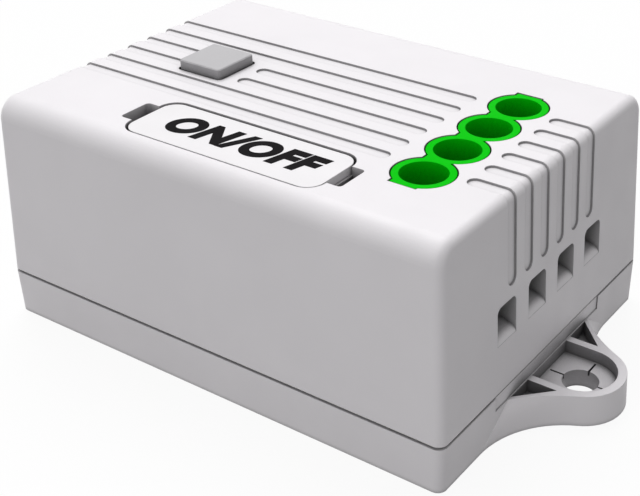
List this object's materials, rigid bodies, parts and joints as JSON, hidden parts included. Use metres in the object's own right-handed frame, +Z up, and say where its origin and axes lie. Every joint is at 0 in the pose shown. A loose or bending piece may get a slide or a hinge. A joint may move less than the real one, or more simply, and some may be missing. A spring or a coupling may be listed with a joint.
{
  "type": "wireless relay switch module",
  "caption": "Small white in-line light switch module: grooved cover on a base with two screw ears, grey pairing button, green screw terminals seen through the top, and wire holes in one end.",
  "frame": {"origin": "middle of the case's footprint, on the mounting surface", "axes": "+X along the case towards the terminal end, +Y across it to the long side away from the name plate, +Z up out of the cover"},
  "size_m": [0.0634, 0.0356, 0.0231],
  "materials": {
    "white_case": "fine satin moulding",
    "white_plate": "smooth",
    "grey_button": "satin",
    "green_block": "smooth moulding",
    "board_laminate": "solder mask",
    "solder": "bright solder",
    "relay_case": "moulded",
    "ferrite": "sintered",
    "black_moulding": "moulded",
    "yellow_tape": "film tape",
    "can_sleeve": "shrink sleeve",
    "yellow_block": "moulded box",
    "blue_coating": "dipped coating",
    "grey_ceramic": "coated body",
    "chip_resin": "moulded resin",
    "steel": "plated",
    "plated_screw": "zinc plated",
    "tinned_copper": "tinned",
    "copper_wire": "bare wire",
    "lamp_lens": "clear resin"
  },
  "bodies": {
    "case": {"top_cover": "white_case", "base": "white_case", "nameplate": "white_plate", "terminal_block": "green_block", "circuit_board": "board_laminate", "radio_board": "board_laminate", "solder_joints": "solder", "relay": "relay_case", "transformer_core": "ferrite", "transformer_bobbin": "black_moulding", "transformer_winding": "yellow_tape", "filter_capacitor": "can_sleeve", "output_capacitor": "can_sleeve", "film_capacitor": "yellow_block", "varistor": "blue_coating", "fuse_resistor": "grey_ceramic", "inductor": "ferrite", "controller_chip": "chip_resin", "voltage_regulator": "chip_resin", "bridge_rectifier": "chip_resin", "radio_chip": "chip_resin", "crystal_can": "steel", "antenna_wire": "copper_wire", "status_led": "lamp_lens", "switch_housing": "black_moulding", "switch_plate": "steel", "contact_dome": "steel", "contact_bar_1": "tinned_copper", "contact_bar_2": "tinned_copper", "contact_bar_3": "tinned_copper", "contact_bar_4": "tinned_copper"},
    "button": {"push_button": "grey_button", "switch_plunger": "black_moulding"},
    "screw_1": {"terminal_screw_1": "plated_screw"},
    "cage_1": {"clamp_cage_1": "steel"},
    "screw_2": {"terminal_screw_2": "plated_screw"},
    "cage_2": {"clamp_cage_2": "steel"},
    "screw_3": {"terminal_screw_3": "plated_screw"},
    "cage_3": {"clamp_cage_3": "steel"},
    "screw_4": {"terminal_screw_4": "plated_screw"},
    "cage_4": {"clamp_cage_4": "steel"}
  },
  "joints": [
    {"name": "button_press", "type": "slide", "parent": "case", "child": "button", "axis": [0, 0, -1], "range_m": [0, 0.0003], "stiffness_N_per_m": 6000, "springref_m": -0.0001},
    {"name": "screw_1_turn", "type": "hinge", "parent": "case", "child": "screw_1", "pos_m": [0.01599, -0.00762, 0.018], "axis": [0, 0, -1], "range_deg": [0, 1440]},
    {"name": "cage_1_lift", "type": "slide", "parent": "case", "child": "cage_1", "axis": [0, 0, 1], "range_m": [0, 0.0018]},
    {"name": "screw_2_turn", "type": "hinge", "parent": "case", "child": "screw_2", "pos_m": [0.01599, -0.00254, 0.018], "axis": [0, 0, -1], "range_deg": [0, 1440]},
    {"name": "cage_2_lift", "type": "slide", "parent": "case", "child": "cage_2", "axis": [0, 0, 1], "range_m": [0, 0.0018]},
    {"name": "screw_3_turn", "type": "hinge", "parent": "case", "child": "screw_3", "pos_m": [0.01599, 0.00254, 0.018], "axis": [0, 0, -1], "range_deg": [0, 1440]},
    {"name": "cage_3_lift", "type": "slide", "parent": "case", "child": "cage_3", "axis": [0, 0, 1], "range_m": [0, 0.0018]},
    {"name": "screw_4_turn", "type": "hinge", "parent": "case", "child": "screw_4", "pos_m": [0.01599, 0.00762, 0.018], "axis": [0, 0, -1], "range_deg": [0, 1440]},
    {"name": "cage_4_lift", "type": "slide", "parent": "case", "child": "cage_4", "axis": [0, 0, 1], "range_m": [0, 0.0018]}
  ],
  "couplings": [
    {"joint": "screw_1_turn", "follows": "cage_1_lift", "rad_per_m": 13963},
    {"joint": "screw_2_turn", "follows": "cage_2_lift", "rad_per_m": 13963},
    {"joint": "screw_3_turn", "follows": "cage_3_lift", "rad_per_m": 13963},
    {"joint": "screw_4_turn", "follows": "cage_4_lift", "rad_per_m": 13963}
  ]
}
